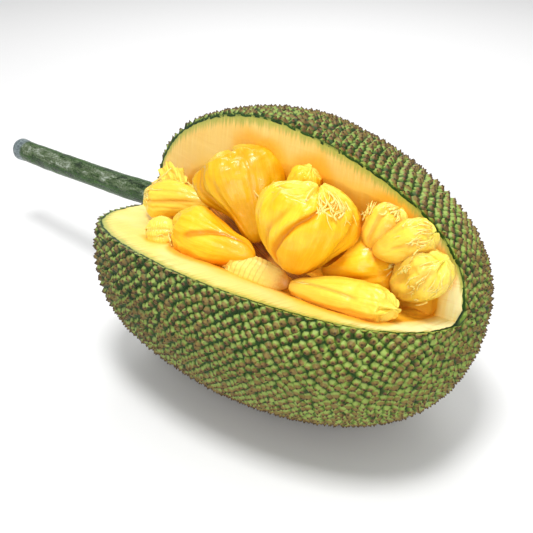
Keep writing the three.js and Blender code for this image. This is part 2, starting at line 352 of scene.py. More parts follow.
class Shader:
    """A new material with a Principled surface, and one method for any other node."""

    def __init__(self, name, **constants):
        self.material = bpy.data.materials.new(name)
        self.material.use_nodes = True
        self.tree = self.material.node_tree
        self.surface = self.tree.nodes["Principled BSDF"]
        for key, number in constants.items():
            self.socket(key).default_value = number

    def socket(self, key):
        return self.surface.inputs[key.replace("_", " ").title().replace("Ior", "IOR")]

    def add(self, kind, settings=None, inputs=None):
        node = self.tree.nodes.new(kind)
        for key, setting in (settings or {}).items():
            setattr(node, key, setting)
        for key, given in (inputs or {}).items():
            socket = node.inputs[key]
            if isinstance(given, Wire):
                self.tree.links.new(given.socket, socket)
            else:
                wide = getattr(socket.default_value, "__len__", lambda: 0)()
                if wide == 4 and len(given) == 3:
                    given = (*given, 1.0)
                socket.default_value = given
        return node

    def get(self, kind, output=0, settings=None, inputs=None):
        return Wire(self, self.add(kind, settings, inputs).outputs[output])

    def place(self, stretch=(1, 1, 1), turn=(0, 0, 0)):
        where = self.get("ShaderNodeTexCoord", "Object")
        return self.get("ShaderNodeMapping", 0, None, {"Vector": where, "Scale": stretch, "Rotation": turn})

    def uv(self, stretch=(1, 1, 1)):
        where = self.get("ShaderNodeTexCoord", "UV")
        return self.get("ShaderNodeMapping", 0, None, {"Vector": where, "Scale": stretch})

    def part(self, axis, vector):
        return self.get("ShaderNodeSeparateXYZ", axis, None, {0: vector})

    def value(self, name):
        return self.get("ShaderNodeAttribute", "Fac", {"attribute_name": name})

    def cloud(self, vector, scale, detail=3.0, roughness=0.5, distortion=0.0):
        return self.get("ShaderNodeTexNoise", "Fac", None, {
            "Vector": vector, "Scale": scale, "Detail": detail, "Roughness": roughness,
            "Distortion": distortion})

    def span(self, wire, low, high, out_low=0.0, out_high=1.0):
        return self.get("ShaderNodeMapRange", 0, {"interpolation_type": "SMOOTHSTEP"}, {
            "Value": wire, "From Min": low, "From Max": high, "To Min": out_low, "To Max": out_high})

    def mix(self, share, one, two):
        return self.get("ShaderNodeMix", 2, {"data_type": "RGBA"}, {0: share, 6: one, 7: two})

    def layer(self, under, wire, low, high, share, colour):
        """A colour laid over another as the wire goes from low to high, up to a share."""
        return self.mix(self.span(wire, low, high) * share, under, colour)

    def bump(self, height, strength, distance):
        return self.get("ShaderNodeBump", 0, None, {
            "Height": height, "Strength": strength, "Distance": distance})

    def finish(self, **links):
        for key, wire in links.items():
            self.tree.links.new(wire.socket, self.socket(key))
        return self.material


# ---- materials -----------------------------------------------------------------------
def rind_material(sizes):
    """Spiny rind: dark green grooves, partly painted shade at the foot of the spines, and spines with a
    painted lit upper side and a painted shaded underside, a brown cap and a darker point, browner toward
    the stem and the ground."""
    s = Shader("rind", specular_ior_level=0.3)
    tip = s.value("tip")
    tone = s.value("tone")
    place = s.place()
    patch = s.cloud(place, 14.0, 3.0)
    fine = s.cloud(place, 900.0, 3.0, 0.6)
    speck = s.cloud(place, 330.0, 2.0)
    along = s.part("X", place)
    low = s.span(s.part("Z", place) + patch * 0.03, 0.075, 0.030)
    brown_side = s.span(along + patch * 0.16, -0.09, 0.17, 1.0, 0.0)
    green = s.mix(tone, sizes.rind_green, sizes.rind_bright)
    green = s.layer(green, along, 0.03, 0.16, 0.6, paint(132, 160, 58))
    green = s.mix(brown_side * 0.6, green, paint(60, 68, 34))
    # painted light: this mask is 1 on each spine's upper side and 0 underneath; the next two layers paint
    # the upper side lit and the underside shaded
    painted_lit_side = s.value("painted_lit_side") + (speck - 0.5) * 0.6
    green = s.layer(green, painted_lit_side, 0.66, 0.12, 0.85, paint(16, 44, 8))
    green = s.layer(green, painted_lit_side, 0.58, 0.92, 0.7, paint(166, 188, 96))
    green = s.mix(low * 0.6, green, paint(88, 84, 46))
    odd = s.span(tone + patch * 0.3 + brown_side * 0.2, 1.04, 1.16)
    green = s.mix(odd * 0.6, green, paint(116, 100, 72))
    # painted shade: the foot of each spine goes near-black green, partly the rind's darker green and partly
    # shade in the recess
    groove = s.span(tip + (speck - 0.5) * 0.2, 0.16, 0.42)
    colour = s.mix(groove, s.mix(tone, sizes.rind_groove, paint(34, 80, 18)), green)
    brown = s.mix(fine, paint(98, 58, 32), paint(172, 122, 78))
    brown = s.mix(brown_side * 0.5, brown, paint(84, 72, 52))
    cap = tip + (tone - 0.5) * 0.3 - brown_side * 0.05 + (speck - 0.5) * 0.3
    # painted shade: the brown cap reaches lower on each spine's shaded underside
    cap = cap + (0.5 - painted_lit_side) * 0.12 + low * 0.12
    brown = s.mix(tone * 0.6, brown, paint(126, 112, 52))
    # painted shade: darker brown on the underside of each cap
    brown = s.layer(brown, painted_lit_side, 0.5, 0.0, 0.6, paint(62, 40, 24))
    colour = s.mix(s.span(cap, 0.46, 0.62) * 0.85, colour, brown)
    colour = s.layer(colour, tip + (fine - 0.5) * 0.1, 0.70, 0.88, 0.9, paint(52, 30, 16))
    rough = 0.42 + fine * 0.25
    height = fine * 0.5 + speck
    return s.finish(base_color=colour, roughness=rough, normal=s.bump(height, 0.35, 0.0006))


def skin_material(sizes):
    """The skin between the spines: dark green, partly its own colour and partly painted shade for the
    recess under the spines, with mottling.
    """
    s = Shader("rind_skin", specular_ior_level=0.3)
    place = s.place()
    fine = s.cloud(place, 420.0, 3.0)
    colour = s.mix(fine, sizes.rind_groove, paint(44, 84, 22))
    return s.finish(base_color=colour, roughness=0.55 + fine * 0.2, normal=s.bump(fine, 0.4, 0.0008))


def pith_material(sizes):
    """Cut pith: creamy yellow with fine knife marks, green and ragged along the rind, paler on the upward
    lying face and at the blossom-end corner as painted light, golden in the hollow, and darker gold round
    the bulbs as painted contact shade over the pith's own golden tint there."""
    s = Shader("pith", specular_ior_level=0.4, subsurface_weight=0.06, subsurface_scale=0.003,
               coat_weight=0.10, coat_roughness=0.35)
    s.surface.inputs["Subsurface Radius"].default_value = (1.0, 0.6, 0.2)
    rim = s.value("rim")
    wall = s.value("wall")
    front = s.value("front")
    place = s.place()
    along = s.part("X", place)
    uv = s.uv((46.0, 2.2, 1.0))
    streak = s.cloud(uv, 1.6, 4.0, 0.62)
    hair = s.cloud(s.uv((150.0, 6.0, 1.0)), 1.6, 3.0, 0.6)
    broad = s.cloud(place, 26.0, 3.0)
    fine = s.cloud(place, 380.0, 4.0, 0.6)
    cream = s.mix(broad, sizes.pith_cream, paint(240, 196, 92))
    # painted light: the upward lying face is painted paler, and the blossom-end corner, which lies in
    # shade, paler still with white streaks
    mid = s.cloud(place, 12.0, 2.0)
    lying = s.mix(s.span(mid, 0.4, 0.65), paint(248, 218, 100), paint(253, 238, 150))
    end = s.span(along, 0.13, 0.165)
    lying = s.mix(end * s.span(streak, 0.25, 0.60, 0.4, 1.0), lying, paint(255, 250, 196))
    cream = s.mix(front * 0.8 + end * 0.15, cream, lying)
    outer = s.span(rim, 0.034, 0.008)
    cream = s.mix(s.span(streak, 0.40, 0.70) * (outer * 0.35 + 0.08), cream, paint(232, 182, 82))
    cream = s.mix(s.span(hair, 0.45, 0.75) * (outer * 0.3 + 0.06), cream, paint(255, 236, 166))
    knife = s.cloud(s.place((1.0, 4.0, 13.0), (0.0, 0.32, 0.0)), 9.0, 4.0, 0.7, 0.3)
    cream = s.layer(cream, knife, 0.50, 0.72, 0.5, paint(252, 216, 128))
    cream = s.layer(cream, knife, 0.44, 0.30, 0.35, paint(232, 178, 84))
    gold = s.mix(broad, sizes.wall_gold, paint(250, 180, 30))
    gold = s.layer(gold, fine, 0.45, 0.8, 0.35, paint(255, 214, 84))
    near = s.span(wall + (broad - 0.5) * 0.9, -0.7, 0.1)
    cream = s.mix(near * 0.55, cream, paint(252, 204, 72))
    colour = s.mix(s.span(wall + (streak - 0.5) * 0.6, 0.0, 0.5), cream, gold)
    # painted shade: darker gold on the pith close to the bulbs, over the pith's own golden tint there
    halo = s.span(s.value("near") + (broad - 0.5) * 0.3 + (hair - 0.5) * 0.2, 0.20, 0.95)
    colour = s.mix(halo * 0.85, colour, s.mix(fine, paint(240, 164, 20), paint(252, 190, 44)))
    green = s.mix(fine, paint(188, 190, 84), paint(134, 152, 58))
    ragged = rim - streak * 0.0190 - hair * 0.005
    colour = s.mix(s.span(ragged, 0.0000, -0.0095) * 0.9, colour, green)
    colour = s.layer(colour, rim - hair * 0.0055, 0.0002, -0.0030, 0.8, paint(84, 110, 40))
    rough = 0.36 + fine * 0.25
    height = streak * outer * 0.6 + hair * outer * 0.3 + fine * 0.35 + knife * 0.7
    return s.finish(base_color=colour, roughness=rough, normal=s.bump(height, 0.3, 0.0012))


def flesh_material(sizes, name, light=0.0, amber=0.0):
    """Wet bulb flesh: painted shade in orange in the folds, where bulbs or a cut face are close and toward
    the narrow end; golden on the flanks; a painted highlight in pale yellow on the ridges, and bright
    yellow at the frayed end; with fine fibres under a glossy coat. Light lifts it all toward pale yellow,
    and amber deepens it."""
    s = Shader(name, specular_ior_level=0.30, subsurface_weight=0.08, subsurface_scale=0.004,
               coat_weight=0.22, coat_roughness=0.12)
    s.surface.inputs["Subsurface Radius"].default_value = (1.0, 0.55, 0.08)
    fold = s.value("fold")
    high = s.value("high")
    along = s.part("Y", s.uv())
    place = s.place()
    fibre = s.cloud(s.uv((20.0, 1.6, 1.0)), 1.5, 4.0, 0.6, 0.5)
    hair = s.cloud(s.uv((70.0, 4.0, 1.0)), 1.6, 3.0, 0.6, 0.3)
    broad = s.cloud(place, 34.0, 3.0, 0.5, 0.8)
    fine = s.cloud(place, 260.0, 4.0, 0.6)
    gold = s.mix(s.span(broad, 0.35, 0.65), sizes.flesh_gold, sizes.flesh_deep)
    gold = s.layer(gold, fibre, 0.42, 0.72, 0.40, sizes.flesh_pale)
    gold = s.layer(gold, hair, 0.50, 0.75, 0.25, paint(255, 222, 92))
    gold = s.mix(s.span(fibre, 0.1, 0.8, 1.0, 0.5) * amber, gold, paint(228, 166, 0))
    gold = s.mix(s.span(broad, 0.56, 0.34) * (0.20 + amber * 0.4), gold, paint(216, 146, 0))
    gold = s.mix(s.span(hair, 0.5, 0.72) * (0.08 + amber * 0.35), gold, paint(255, 212, 70))
    # painted shade: orange where another bulb or a cut face is close
    gold = s.mix(s.value("near") * 0.9, gold, paint(226, 128, 0))
    # painted shade: orange toward the narrow end, which sits deep among the other bulbs
    gold = s.layer(gold, along, 0.50, 0.0, 0.55, paint(232, 140, 2))
    # painted highlight: pale yellow on the ridges and lobes
    gold = s.mix(high * 0.55 * s.span(broad, 0.3, 0.7), gold, sizes.flesh_pale)
    # painted shade: orange in the folds
    gold = s.layer(gold, fold, 0.10, 0.9, 0.75, paint(222, 128, 2))
    frayed = s.span(along + (fine - 0.5) * 0.35 + (fibre - 0.5) * 0.3, 0.88, 1.04)
    gold = s.mix(frayed * 0.55 + light, gold, paint(255, 242, 112))
    gold = s.mix(amber * 0.48, gold, paint(214, 164, 0))
    rough = 0.24 + fine * 0.20 + frayed * 0.2
    height = fibre * 0.8 + hair * 0.35 + fine * 0.45
    return s.finish(base_color=gold, roughness=rough, normal=s.bump(height, 0.35, 0.0014))


def ribbed_material(sizes):
    """Ribbed rag: pale cream over fine cross creases, with painted shade in tan along its folds and ribs,
    going brown and frayed at its narrow end.
    """
    s = Shader("ribbed_rag", specular_ior_level=0.45, subsurface_weight=0.08, subsurface_scale=0.003,
               coat_weight=0.3, coat_roughness=0.25)
    along = s.part("Y", s.uv())
    place = s.place()
    line = s.cloud(s.uv((2.0, 34.0, 1.0)), 1.5, 3.0, 0.6, 0.6)
    fine = s.cloud(place, 500.0, 4.0)
    colour = s.mix(fine, sizes.rag_pale, paint(255, 214, 96))
    # painted shade: tan along the folds and cross ribs
    colour = s.layer(colour, s.value("fold"), 0.1, 0.6, 0.6, paint(216, 160, 56))
    colour = s.layer(colour, along + (fine - 0.5) * 0.2, 0.24, 0.06, 0.8, paint(226, 150, 24))
    height = line + fine * 0.4
    return s.finish(base_color=colour, roughness=0.34 + fine * 0.2, normal=s.bump(height, 0.4, 0.0012))


def rag_material(sizes):
    """Pale rag and loose fibres: creamy yellow, a little see-through."""
    s = Shader("rag", specular_ior_level=0.45, subsurface_weight=0.25, subsurface_scale=0.003,
               coat_weight=0.2, coat_roughness=0.3)
    place = s.place()
    broad = s.cloud(place, 60.0, 3.0)
    fine = s.cloud(place, 700.0, 4.0)
    colour = s.mix(broad, sizes.rag_pale, paint(250, 205, 96))
    colour = s.layer(colour, fine, 0.45, 0.8, 0.5, paint(255, 246, 196))
    return s.finish(base_color=colour, roughness=0.34 + fine * 0.2, normal=s.bump(fine, 0.3, 0.0006))


def core_material(sizes):
    """The fibrous core: orange-brown, streaked along its length."""
    s = Shader("core", specular_ior_level=0.4, subsurface_weight=0.1, subsurface_scale=0.003,
               coat_weight=0.15, coat_roughness=0.35)
    strand = s.cloud(s.uv((70.0, 5.0, 1.0)), 1.5, 4.0, 0.65, 0.5)
    broad = s.cloud(s.place(), 45.0, 3.0)
    colour = s.mix(s.span(strand, 0.38, 0.62), paint(128, 70, 12), sizes.core_orange)
    colour = s.mix(s.span(broad, 0.45, 0.7) * s.span(strand, 0.45, 0.6) * 0.8, colour, paint(246, 190, 80))
    return s.finish(base_color=colour, roughness=0.45 + strand * 0.2, normal=s.bump(strand, 0.6, 0.0016))


def bark_material(sizes):
    """Stalk bark: dark green with grey-white patches, a painted highlight broken up by noise where the
    stalk faces the camera, fine cracks and a paler cut end.
    """
    s = Shader("bark", specular_ior_level=0.2, coat_weight=0.06, coat_roughness=0.2)
    end = s.value("end")
    painted_highlight = s.value("painted_highlight")
    place = s.place()
    patch = s.cloud(s.place((0.5, 1, 1)), 80.0, 5.0, 0.65, 0.6)
    speck = s.cloud(place, 420.0, 4.0, 0.7)
    streak = s.cloud(s.uv((16.0, 14.0, 1.0)), 1.4, 5.0, 0.65, 0.5)
    colour = s.mix(s.span(streak, 0.3, 0.7), sizes.bark_dark, sizes.bark_green)
    colour = s.layer(colour, patch, 0.50, 0.34, 0.85, paint(18, 32, 16))
    # painted highlight: pale grey and grey-white where the stalk faces the camera, broken up by noise
    pale = painted_highlight * 0.55 + (patch - 0.5) * 1.3 + (speck - 0.5) * 0.6 + (streak - 0.5) * 0.9
    colour = s.layer(colour, pale, 0.36, 0.62, 0.75, paint(104, 116, 88))
    colour = s.layer(colour, pale, 0.60, 0.86, 0.8, paint(186, 196, 182))
    grain = s.mix(s.span(speck, 0.3, 0.7), paint(66, 80, 84), paint(140, 154, 156))
    colour = s.mix(s.span(end + (patch - 0.5) * 0.3, 0.35, 0.6), colour, grain)
    height = streak * 0.8 + patch + speck * 0.4
    return s.finish(base_color=colour, roughness=0.14 + speck * 0.3, normal=s.bump(height, 0.7, 0.0022))


# ---- the shape of the body -----------------------------------------------------------
def body_radius(s, roll, inset=0.0):
    """Radius over the points of the spines at s (-1 at the stem, 1 at the blossom end):
    R (1 - |s|^p)^(1/q) (1 + k s), less a share g s^2 cos(roll - roll0) on the stem half. An
    inset takes the same length off the half length and off R."""
    s = s * HALF_LENGTH / (HALF_LENGTH - inset)
    power = np.where(s < 0, STEM_POWER, TIP_POWER)
    rounded = np.clip(1 - np.abs(s) ** power, 0, None) ** (1 / GIRTH_POWER)
    fall = np.where(s < 0, s * s, 0) * SLUMP * np.cos(roll - SLUMP_ROLL)
    return (MAX_RADIUS - inset) * rounded * (1 + TAPER * s) * (1 - fall)


def body_point(turn, roll):
    """A point over the spines: x = -a cos(turn), and the body's radius at that roll."""
    s = -np.cos(turn)
    r = body_radius(s, roll)
    return vectors(HALF_LENGTH * s, -r * np.sin(roll), REST_HEIGHT + r * np.cos(roll))


def body_normal(turn, roll):
    """The outward direction there, from the cross product of two short steps."""
    e = 1e-4
    along = body_point(turn + e, roll) - body_point(turn - e, roll)
    round_ = body_point(turn, roll + e) - body_point(turn, roll - e)
    n = unit(np.cross(round_, along))
    inside = body_point(turn, roll) - np.array([0, 0, REST_HEIGHT])
    return n * np.sign((n * inside).sum(-1, keepdims=True))


def side_normal(roll):
    """The direction square to a cut face that leaves the middle line at that roll."""
    return np.array([0.0, -math.cos(roll), -math.sin(roll)])


BACK_NORMAL = side_normal(BACK_ROLL)      # out of the upright cut face, toward the wedge
FRONT_NORMAL = side_normal(FRONT_ROLL)    # down into the lying cut face


def setting(terms, x):
    """A cut face's distance from the middle line at x: c0 + c1 s + c2 s^2."""
    s = np.clip(x / HALF_LENGTH, -1, 1)
    return terms[0] + terms[1] * s + terms[2] * s * s


def past_cuts(points):
    """How far each point is past the back cut and past the front cut. It is in the wedge where
    both are more than 0."""
    p = points - np.array([0, 0, REST_HEIGHT])
    back = p @ BACK_NORMAL - setting(BACK_SET, p[..., 0])
    front = setting(FRONT_SET, p[..., 0]) - p @ FRONT_NORMAL
    return back, front


def trim_to_cuts(points):
    """Points in the wedge are moved square onto the nearer cut face, and points under the floor
    up onto it, so that spines are sliced where the knife and the ground met them."""
    back, front = past_cuts(points)
    inside = (back > 0) & (front > 0)
    by_back = (inside & (back <= front))[..., None]
    by_front = (inside & (back > front))[..., None]
    moved = np.where(by_back, points - back[..., None] * BACK_NORMAL, points)
    moved = np.where(by_front, moved + front[..., None] * FRONT_NORMAL, moved)
    moved[..., 2] = np.maximum(moved[..., 2], 0.0)
    return moved


def edge_rolls(x, inset):
    """The rolls at which the two cut faces leave the body at x, over the skin at that inset."""
    s = np.clip(x / HALF_LENGTH, -1, 1)
    rolls = []
    for roll, terms in ((BACK_ROLL, BACK_SET), (FRONT_ROLL, FRONT_SET)):
        w = setting(terms, x)
        t = np.full_like(x, roll)
        for _ in range(12):
            r = np.maximum(body_radius(s, t, inset), 1e-6)
            t = roll + np.arcsin(np.clip(w / r, -0.999, 0.999))
        rolls.append(t)
    return rolls


# ---- rind ----------------------------------------------------------------------------
def spine_lattice(sizes):
    """Places for the spines: the i-th turns on by the golden angle, and stands where the body's
    area from the stem end reaches (i + 1/2) / N of the whole, with a little wander."""
    turn = np.linspace(1e-4, math.pi - 1e-4, 3000)
    s = -np.cos(turn)
    r = body_radius(s, np.full_like(s, SLUMP_ROLL + math.pi / 2))
    arc = np.hypot(np.gradient(HALF_LENGTH * s), np.gradient(r))
    area = np.cumsum(2 * math.pi * r * arc)
    cell = 0.866 * sizes.spine_gap ** 2
    count = int(area[-1] / cell)
    i = np.arange(count)
    where = np.interp((i + 0.5) / count, area / area[-1], turn)
    roll = i * GOLDEN_ANGLE
    rng = np.random.default_rng(11)
    radius = np.maximum(np.interp(where, turn, r), 0.01)
    slope = np.interp(where, turn, arc / np.gradient(turn))
    wander = (0.08 + 0.07 * step(0.25, -0.25, -np.cos(where))) * sizes.spine_gap
    where = where + rng.normal(0, 1, count) * wander / np.maximum(slope, 0.02)
    roll = roll + rng.normal(0, 1, count) * wander / radius
    return np.clip(where, 1e-3, math.pi - 1e-3), roll, rng


# one spine from the skin to its point: radius as a share of the gap, height as a share
SPINE_RINGS = ((0.84, 0.00), (0.64, 0.20), (0.43, 0.44), (0.21, 0.68), (0.07, 0.90))
SPINE_SIDES = 6


def spines(sizes, name, low, high):
    """Closed six-sided spines with a round shoulder and a small sharp point, standing square on the body
    between two shares of its length. Each has a width, height, lean and tone of its own and uneven corners.
    A painted light mask goes round it from 1 on its upper side to 0 underneath, for a painted lit side and
    a painted shaded side."""
    turn, roll, rng = spine_lattice(sizes)
    gap = sizes.spine_gap
    count = len(turn)
    height = SPINE_HEIGHT * (0.78 + 0.22 * rng.random(count))
    spin = rng.random(count) * math.tau
    tone = rng.random(count)
    painted_light_dir = rng.normal(0, 0.7, count)
    uneven = 1 + 0.16 * (rng.random((count, SPINE_SIDES)) - 0.5)
    lean = rng.normal(0, SPINE_LEAN, (count, 2)) * gap
    over = body_point(turn, roll)
    out = body_normal(turn, roll)
    back, front = past_cuts(over - out * SPINE_HEIGHT)
    s = -np.cos(turn)
    keep = ~((back > CUT_REACH * gap) & (front > CUT_REACH * gap)) & (s >= low) & (s < high)
    over, out, height, spin, tone, uneven, lean, painted_light_dir = (
        each[keep] for each in (over, out, height, spin, tone, uneven, lean, painted_light_dir))
    count = len(over)
    foot = over - out * SPINE_HEIGHT
    side = unit(np.cross(out, np.array([1.0, 0.02, 0.01])))
    other = np.cross(out, side)
    rings = len(SPINE_RINGS)
    angle = spin[:, None] + np.arange(SPINE_SIDES) * math.tau / SPINE_SIDES
    # painted light: the lit side faces world-up, turned a little at random for each spine
    painted_light_dir = np.arctan2(other[:, 2], side[:, 2]) + painted_light_dir
    painted_lit_side = 0.5 + 0.5 * np.cos(angle - painted_light_dir[:, None])
    rows = []
    tips = []
    for share, lift in SPINE_RINGS:
        r = share * gap * uneven
        slide = lean * lift ** 2
        flat = (side[:, None] * (r * np.cos(angle) + slide[:, :1])[..., None]
                + other[:, None] * (r * np.sin(angle) + slide[:, 1:])[..., None])
        rows.append(foot[:, None] + flat + out[:, None] * (height * lift)[:, None, None])
        tips.append(np.full((count, SPINE_SIDES), lift))
    body = np.stack(rows, axis=1)
    point = foot + out * height[:, None] + side * lean[:, :1] + other * lean[:, 1:]
    bottom = foot - out * (0.2 * height)[:, None]
    each = rings * SPINE_SIDES
    points = np.concatenate([body.reshape(count, each, 3), point[:, None], bottom[:, None]], axis=1)
    points = trim_to_cuts(points)
    tip = np.concatenate([np.stack(tips, 1).reshape(count, each), np.ones((count, 1)),
                          np.zeros((count, 1))], axis=1)
    painted_lit_corners = np.concatenate([np.tile(painted_lit_side, (1, rings)), np.full((count, 2), 0.5)], axis=1)
    quads = grid_faces(rings, SPINE_SIDES)[:, ::-1]
    c = np.arange(SPINE_SIDES)
    d = (c + 1) % SPINE_SIDES
    last = (rings - 1) * SPINE_SIDES
    up = np.stack([np.full(SPINE_SIDES, each), last + d, last + c], axis=1)
    down = np.stack([np.full(SPINE_SIDES, each + 1), c, d], axis=1)
    start = np.arange(count)[:, None, None] * (each + 2)
    quads = (quads[None] + start).reshape(-1, 4)
    triangles = (np.vstack([up, down])[None] + start).reshape(-1, 3)
    return make_object(name, points.reshape(-1, 3), quads, triangles,
                       values={"tip": tip, "painted_lit_side": painted_lit_corners, "tone": np.repeat(tone, each + 2)}, sharp=26)


def rind_skin():
    """The skin that the spines stand on: the body's formula inset by the ground's depth, from
    one cut face the long way round to the other, as a closed shell of two such layers."""
    turn = np.linspace(0.004, math.pi - 0.004, 170)
    share = np.linspace(0, 1, 200)
    layers = []
    for inset in (GROUND, GROUND + SKIN):
        x = -(HALF_LENGTH - inset) * np.cos(turn)
        back, front = edge_rolls(x, inset)
        roll = front[:, None] + (back + math.tau - front)[:, None] * share
        x = x[:, None] + 0 * roll
        r = np.maximum(body_radius(x / HALF_LENGTH, roll, inset), 0.0003)
        p = vectors(x, -r * np.sin(roll), REST_HEIGHT + r * np.cos(roll))
        p[..., 2] = np.maximum(p[..., 2], (inset - GROUND) * 0.4)
        layers.append(p)
    loop = np.concatenate([layers[0], layers[1][:, ::-1]], axis=1)
    return closed_grid("rind_skin", loop, sharp=50)


# ---- pith ----------------------------------------------------------------------------
def ray_to_side(start, way, normal, terms, depth, sign):
    """Distance from a start inside the flesh along a ray to a cut face sunk by a depth."""
    x = start[..., 0]
    middle = start - np.array([0, 0, REST_HEIGHT])
    now = sign * (middle @ normal - setting(terms, x)) + depth
    rate = sign * (way @ normal)
    away = np.where(rate > 1e-9, -now / np.maximum(rate, 1e-9), 9.0)
    return np.where(now >= 0, 0.0, away)


def pith_body():
    """The cut pith with its hollow, closed all round. At each station along the fruit the
    surface is the distance from a middle line along every direction: out to just under the
    skin, or to where both cut faces are passed. Inside the outline |h|^p + (across / w)^q = 1,
    where h runs from -1 to 1 along the hollow, it sinks below both faces by the hollow's depth,
    in the curve 3t^2 - 2t^3 over the width of the hollow's lip."""
    inset = GROUND + 0.4 * MM
    turn = np.concatenate([np.linspace(0.02, 0.30, 18)[:-1], np.linspace(0.30, 2.86, 250),
                           np.linspace(2.86, math.pi - 0.02, 22)[1:]])
    x = -(HALF_LENGTH - inset) * np.cos(turn)
    s = x / HALF_LENGTH
    back, front = edge_rolls(x, inset)
    b, f = setting(BACK_SET, x), setting(FRONT_SET, x)
    nb, nf = BACK_NORMAL, FRONT_NORMAL
    det = nb[1] * nf[2] - nb[2] * nf[1]
    apex = np.stack([(b * nf[2] - f * nb[2]) / det, (f * nb[1] - b * nf[1]) / det], axis=-1)
    small = np.minimum(1, body_radius(s, 2.0 + 0 * s) / 0.125)[:, None]
    middle = np.array([24 * MM, -58 * MM]) * small

    def edge(roll):
        return vectors(-np.sin(roll), np.cos(roll)) * body_radius(s, roll, inset)[:, None]

    edge_b, edge_f = edge(back), edge(front)
    face = np.linspace(0, 1, 112)[None, :, None]
    on_back = edge_b[:, None] * (1 - face) + apex[:, None] * face
    on_front = apex[:, None] * (1 - face) + edge_f[:, None] * face

    def angle(p):
        q = p - middle[:, None]
        return np.arctan2(-q[..., 0], q[..., 1])

    def unwrap(a, low):
        return low + np.mod(a - low, math.tau)

    first = angle(edge_f[:, None])
    a_back = unwrap(angle(on_back), first)
    a_front = unwrap(angle(on_front[:, 1:-1]), first)
    arc = first + (a_back[:, :1] - first) * np.linspace(0, 1, 60)[None, :-1]
    theta = np.sort(np.concatenate([arc, a_back, a_front], axis=1), axis=1)
    way = vectors(0.0, -np.sin(theta), np.cos(theta))
    start = vectors(x[:, None] + 0 * theta, middle[:, :1], REST_HEIGHT + middle[:, 1:])
    # out to the skin, by halving
    low, high = 0 * theta, 0 * theta + 0.3
    for _ in range(26):
        half = (low + high) / 2
        p = start + way * half[..., None]
        reach = np.hypot(p[..., 1], p[..., 2] - REST_HEIGHT)
        roll = np.arctan2(-p[..., 1], p[..., 2] - REST_HEIGHT)
        limit = np.maximum(body_radius(s[:, None] + 0 * theta, roll, inset), 0.0002)
        low = np.where(reach < limit, half, low)
        high = np.where(reach < limit, high, half)
    skin = low

    def wedge_at(behind, below):
        return np.maximum(ray_to_side(start, way, nb, BACK_SET, behind, 1),
                          ray_to_side(start, way, nf, FRONT_SET, below, -1))

    cut = wedge_at(0.0, 0.0)
    ragged = 1.6 * MM * noise(start + way * cut[..., None], 12 * MM, 5)
    shallow = (1 - 0.65 * step(105 * MM, 145 * MM, x))[:, None]
    sunk = wedge_at(HOLLOW_DEPTH * shallow, 0.5 * HOLLOW_DEPTH * shallow)
    h = (x - HOLLOW_CENTRE) / HOLLOW_HALF
    power = np.where(h < 0, STEM_POWER + 0.1, TIP_POWER + 0.9)
    at_cut = start + way * cut[..., None]
    across = np.hypot(at_cut[..., 1], at_cut[..., 2] - REST_HEIGHT)
    on_front = (ray_to_side(start, way, nf, FRONT_SET, 0, -1)
                >= ray_to_side(start, way, nb, BACK_SET, 0, 1))
    narrower = (4 * MM + 8 * MM * step(10 * MM, 90 * MM, x))[:, None]
    wide = HOLLOW_RADIUS - 3 * MM + ragged - on_front * narrower
    share = across / wide
    beyond = (np.abs(h) ** power)[:, None]
    steep = np.hypot((power * np.abs(h) ** (power - 1) / HOLLOW_HALF)[:, None],
                     GIRTH_POWER * share ** (GIRTH_POWER - 1) / wide)
    inward = (1 - beyond - share ** GIRTH_POWER) / np.maximum(steep, 2.0)
    hollow = step(0.0, HOLLOW_LIP, inward) * (cut < skin)
    reach = np.minimum(skin, cut + (sunk - cut) * hollow)
    points = start + way * reach[..., None]
    on_cut = cut < skin
    # relief: fibres that run outwards from the core on the cut faces, lumps in the hollow
    radial = np.hypot(points[..., 1], points[..., 2] - REST_HEIGHT)
    fibre_place = vectors(points[..., 0], radial * 0.10, 0.0)
    relief = 0.45 * MM * noise(fibre_place, 2.6 * MM, 3) + 0.5 * MM * noise(points, 9 * MM, 4)
    lumps = 2.4 * MM * noise(points, 13 * MM, 8) + 0.9 * MM * noise(points, 4 * MM, 9)
    near_rim = step(0.0, 4 * MM, skin - cut)
    shift = np.where(on_cut, (relief * (1 - hollow) - 0.3 * MM) * near_rim + lumps * hollow, 0.0)
    points = points + way * shift[..., None]
    points[..., 2] = np.maximum(points[..., 2], 2.4 * MM)
    roll = np.arctan2(-points[..., 1], points[..., 2] - REST_HEIGHT)
    rim = body_radius(s[:, None] + 0 * theta, roll, inset) - radial
    uv = vectors(points[..., 0] / HALF_LENGTH, radial / HALF_LENGTH)
    # lying marks the upward lying face and the blossom-end corner, which the pith material paints paler as
    # painted light
    lying = np.maximum(on_front, step(125 * MM, 165 * MM, x)[:, None])
    # near is closeness to the bulbs, for the painted contact shade on the pith; it is weaker on the lying
    # face
    near = closeness(points, "", 21 * MM) ** (1 + 4 * lying)
    wall = inward / HOLLOW_LIP * on_cut - 9 * ~on_cut
    return closed_grid("pith", points, uv=uv, sharp=48,
                       values={"rim": rim, "wall": wall, "front": lying, "near": near})


# ---- bulbs ---------------------------------------------------------------------------
def bulb_axes(row):
    """A bulb's narrow end, its length, and its directions: along, sideways and facing out."""
    base = np.array(row[0], float) * MM + np.array([0, 0, REST_HEIGHT])
    axis = np.array(row[1], float) * MM + np.array([0, 0, REST_HEIGHT]) - base
    length = np.linalg.norm(axis)
    axis /= length
    side = unit(np.cross(axis, LOOK))
    return base, length, axis, side, np.cross(side, axis)


def bulb_ring(row, t):
    """The radius of a bulb's ring t of the way along it, as a share of half its width:
    (sin f)^0.9 (k + (1 - k) t) / (0.61 + 0.45 k), where t = (1 - cos f) / 2."""
    keep = row[4]
    ring = np.sqrt(np.clip(1 - (2 * t - 1) ** 2, 0, 1)) ** RING_POWER
    return ring * (keep + (1 - keep) * t) / (0.61 + 0.45 * keep)


